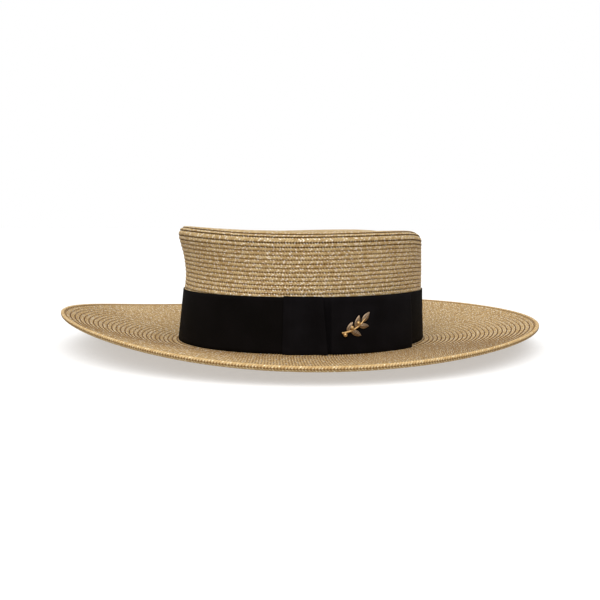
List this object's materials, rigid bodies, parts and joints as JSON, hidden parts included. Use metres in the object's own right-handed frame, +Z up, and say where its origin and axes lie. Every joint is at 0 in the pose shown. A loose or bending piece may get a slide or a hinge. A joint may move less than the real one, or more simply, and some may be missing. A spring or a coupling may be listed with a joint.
{
  "type": "straw boater hat",
  "caption": "Straw boater hat with a low oval crown, a wide dished brim, a broad black ribbon with a flat side bow and a small metal sprig.",
  "frame": {"origin": "middle of the brim's outline in plan, on the surface that the brim's flat foot rests on", "axes": "+Z up through the crown, -Y towards the wearer's front, +X towards the wearer's left, where the bow is"},
  "size_m": [0.36, 0.387, 0.093],
  "materials": {
    "crown_straw": "sewn natural straw braid with fine metallic threads",
    "brim_straw": "sewn natural straw braid with fine metallic threads",
    "ribbon": "black grosgrain ribbon, matt",
    "bow_ribbon": "black grosgrain ribbon, matt",
    "aged_brass": "antique brass with dark recesses"
  },
  "bodies": {
    "root": {"crown": "crown_straw", "brim": "brim_straw", "band": "ribbon", "bow_loop": "bow_ribbon", "bow_knot": "bow_ribbon", "ornament": "aged_brass"}
  },
  "joints": []
}
